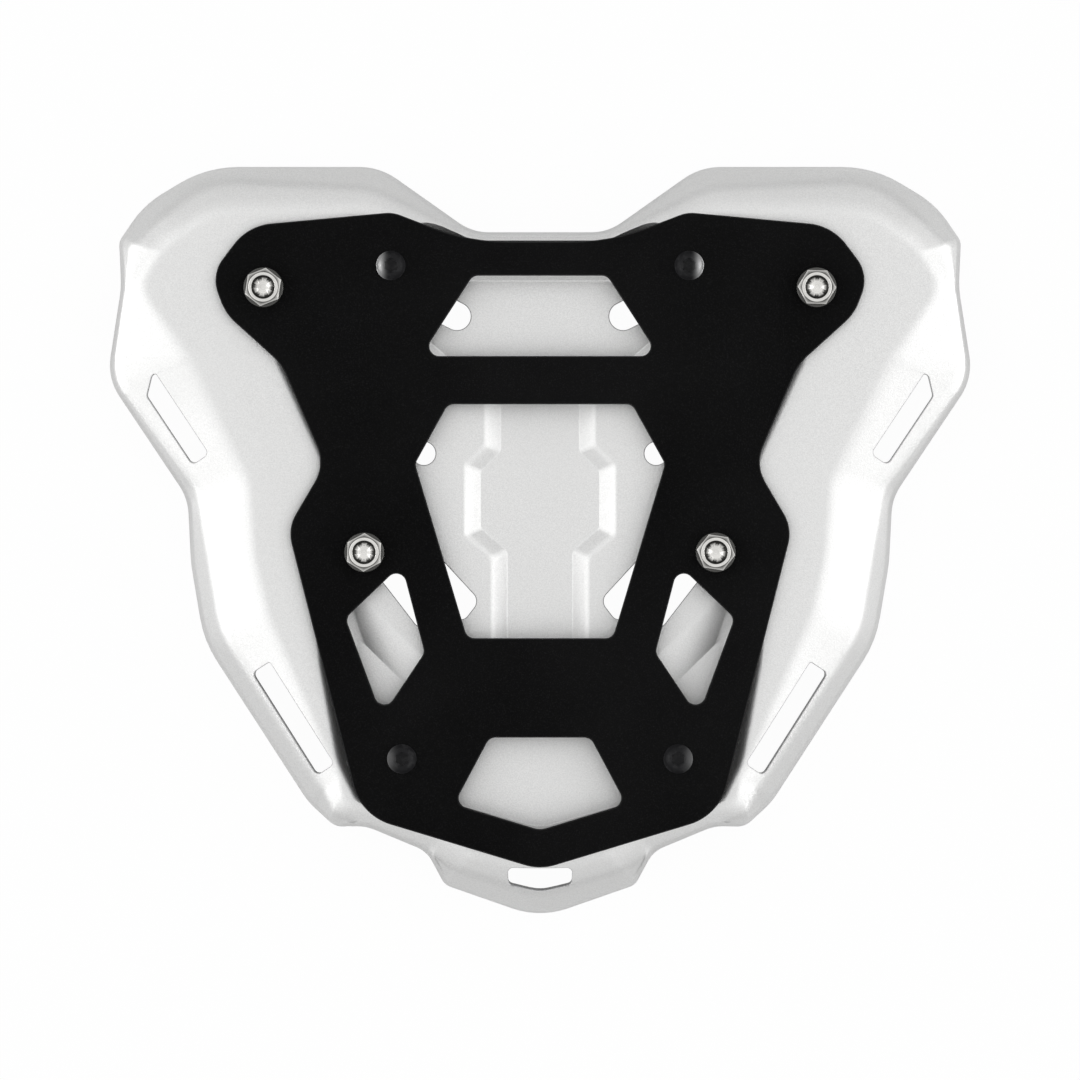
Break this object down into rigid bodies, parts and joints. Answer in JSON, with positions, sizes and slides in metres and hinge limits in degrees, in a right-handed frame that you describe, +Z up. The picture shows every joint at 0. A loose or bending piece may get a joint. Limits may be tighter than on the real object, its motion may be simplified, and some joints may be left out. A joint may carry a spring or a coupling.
{
  "type": "motorcycle luggage rack",
  "caption": "Low luggage rack for a motorcycle tail: a pressed aluminium tray with strap slots carries a black windowed adapter plate for a top case.",
  "frame": {"origin": "middle of the bounding box's base, in the plane that the turned-down rim stands on", "axes": "+Z up, +Y towards the wide end with the notch, +X to the right seen from above with the notch at the top"},
  "size_m": [0.3356, 0.2917, 0.0374],
  "materials": {
    "tray": "satin, bead blasted",
    "plate": "matt black powder coat",
    "steel": "turned stainless steel",
    "zinc": "satin zinc plating",
    "spacer": "turned aluminium",
    "black_screw": "black oxide, slightly shiny"
  },
  "bodies": {
    "root": {"pressed_tray": "tray", "adapter_plate": "plate", "hex_bolt_wide_left": "steel", "hex_bolt_wide_right": "steel", "hex_bolt_waist_left": "steel", "hex_bolt_waist_right": "steel", "washer_wide_left": "steel", "washer_wide_right": "steel", "washer_waist_left": "steel", "washer_waist_right": "steel", "bolt_nut_wide_left": "zinc", "bolt_nut_wide_right": "zinc", "bolt_nut_waist_left": "zinc", "bolt_nut_waist_right": "zinc", "bolt_spacer_waist_left": "spacer", "bolt_spacer_waist_right": "spacer", "button_screw_wide_left": "black_screw", "button_screw_wide_right": "black_screw", "button_screw_lip_left": "black_screw", "button_screw_lip_right": "black_screw", "screw_nut_wide_left": "zinc", "screw_nut_wide_right": "zinc", "screw_nut_lip_left": "zinc", "screw_nut_lip_right": "zinc", "screw_spacer_lip_left": "spacer", "screw_spacer_lip_right": "spacer"}
  },
  "joints": []
}
